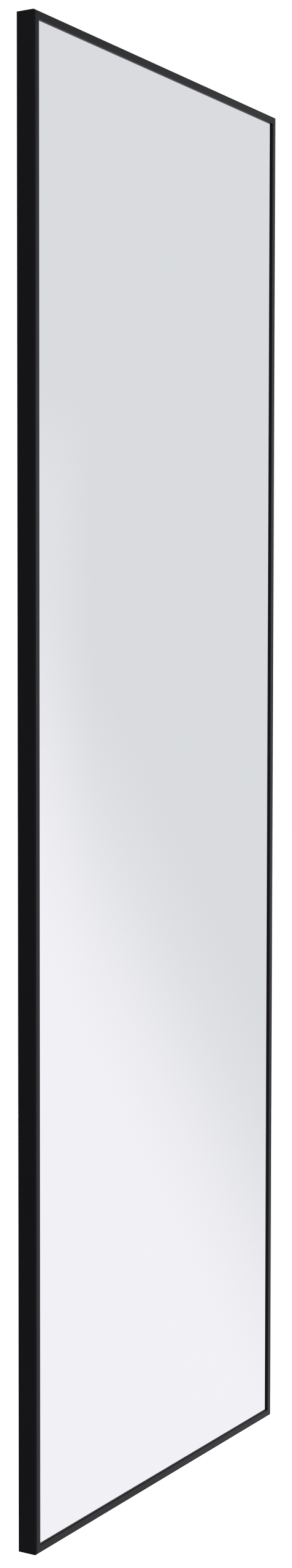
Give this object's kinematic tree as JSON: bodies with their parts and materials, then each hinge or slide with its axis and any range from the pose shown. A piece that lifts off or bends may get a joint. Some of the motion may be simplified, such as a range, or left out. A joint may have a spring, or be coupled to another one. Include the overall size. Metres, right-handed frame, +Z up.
{
  "type": "wall mirror",
  "caption": "Full-length rectangular wall mirror in a thin mitred black aluminium frame, with hidden corner angles, a hardboard back and folding D-ring hangers inside its depth.",
  "frame": {"origin": "centre of the mirror on the plane of the wall behind it", "axes": "+Z up, +Y back into the wall so that the glass faces -Y, +X to the right seen from the front"},
  "size_m": [0.6096, 0.0266, 1.8288],
  "materials": {
    "frame_black": "satin black powder coat",
    "mirror_glass": "silvered float glass, seamed edges, grey paint on the back",
    "backing_board": "tempered hardboard",
    "edge_block": "extruded PVC",
    "spring_steel": "tempered spring steel",
    "zinc_plate": "bright zinc plate",
    "set_screw_steel": "black oxide",
    "hanger_steel": "bright zinc plate",
    "ring_steel": "nickel plate",
    "pan_screw_steel": "bright zinc plate",
    "bumper_rubber": "matt black rubber"
  },
  "bodies": {
    "mirror": {"left_stile": "frame_black", "right_stile": "frame_black", "top_rail": "frame_black", "bottom_rail": "frame_black", "mirror_glass": "mirror_glass", "backing_board": "backing_board", "setting_blocks": "edge_block", "edge_spacers_left": "edge_block", "edge_spacers_right": "edge_block", "edge_spacers_top": "edge_block", "spring_clips_left": "spring_steel", "spring_clips_right": "spring_steel", "spring_clips_top": "spring_steel", "spring_clips_bottom": "spring_steel", "corner_backer_bl": "zinc_plate", "corner_angle_bl": "zinc_plate", "corner_set_screws_bl": "set_screw_steel", "corner_backer_tl": "zinc_plate", "corner_angle_tl": "zinc_plate", "corner_set_screws_tl": "set_screw_steel", "corner_backer_tr": "zinc_plate", "corner_angle_tr": "zinc_plate", "corner_set_screws_tr": "set_screw_steel", "corner_backer_br": "zinc_plate", "corner_angle_br": "zinc_plate", "corner_set_screws_br": "set_screw_steel", "hanger_plate_left": "hanger_steel", "hanger_nut_left": "zinc_plate", "hanger_screws_left": "pan_screw_steel", "wall_bumper_left": "bumper_rubber", "hanger_plate_right": "hanger_steel", "hanger_nut_right": "zinc_plate", "hanger_screws_right": "pan_screw_steel", "wall_bumper_right": "bumper_rubber"},
    "ring_left": {"d_ring_left": "ring_steel"},
    "ring_right": {"d_ring_right": "ring_steel"}
  },
  "joints": [
    {"name": "ring_left_swing", "type": "hinge", "parent": "mirror", "child": "ring_left", "pos_m": [-0.2863, -0.0043, 0.6144], "axis": [1, 0, 0], "range_deg": [0, 180]},
    {"name": "ring_right_swing", "type": "hinge", "parent": "mirror", "child": "ring_right", "pos_m": [0.2863, -0.0043, 0.6144], "axis": [1, 0, 0], "range_deg": [0, 180]}
  ]
}
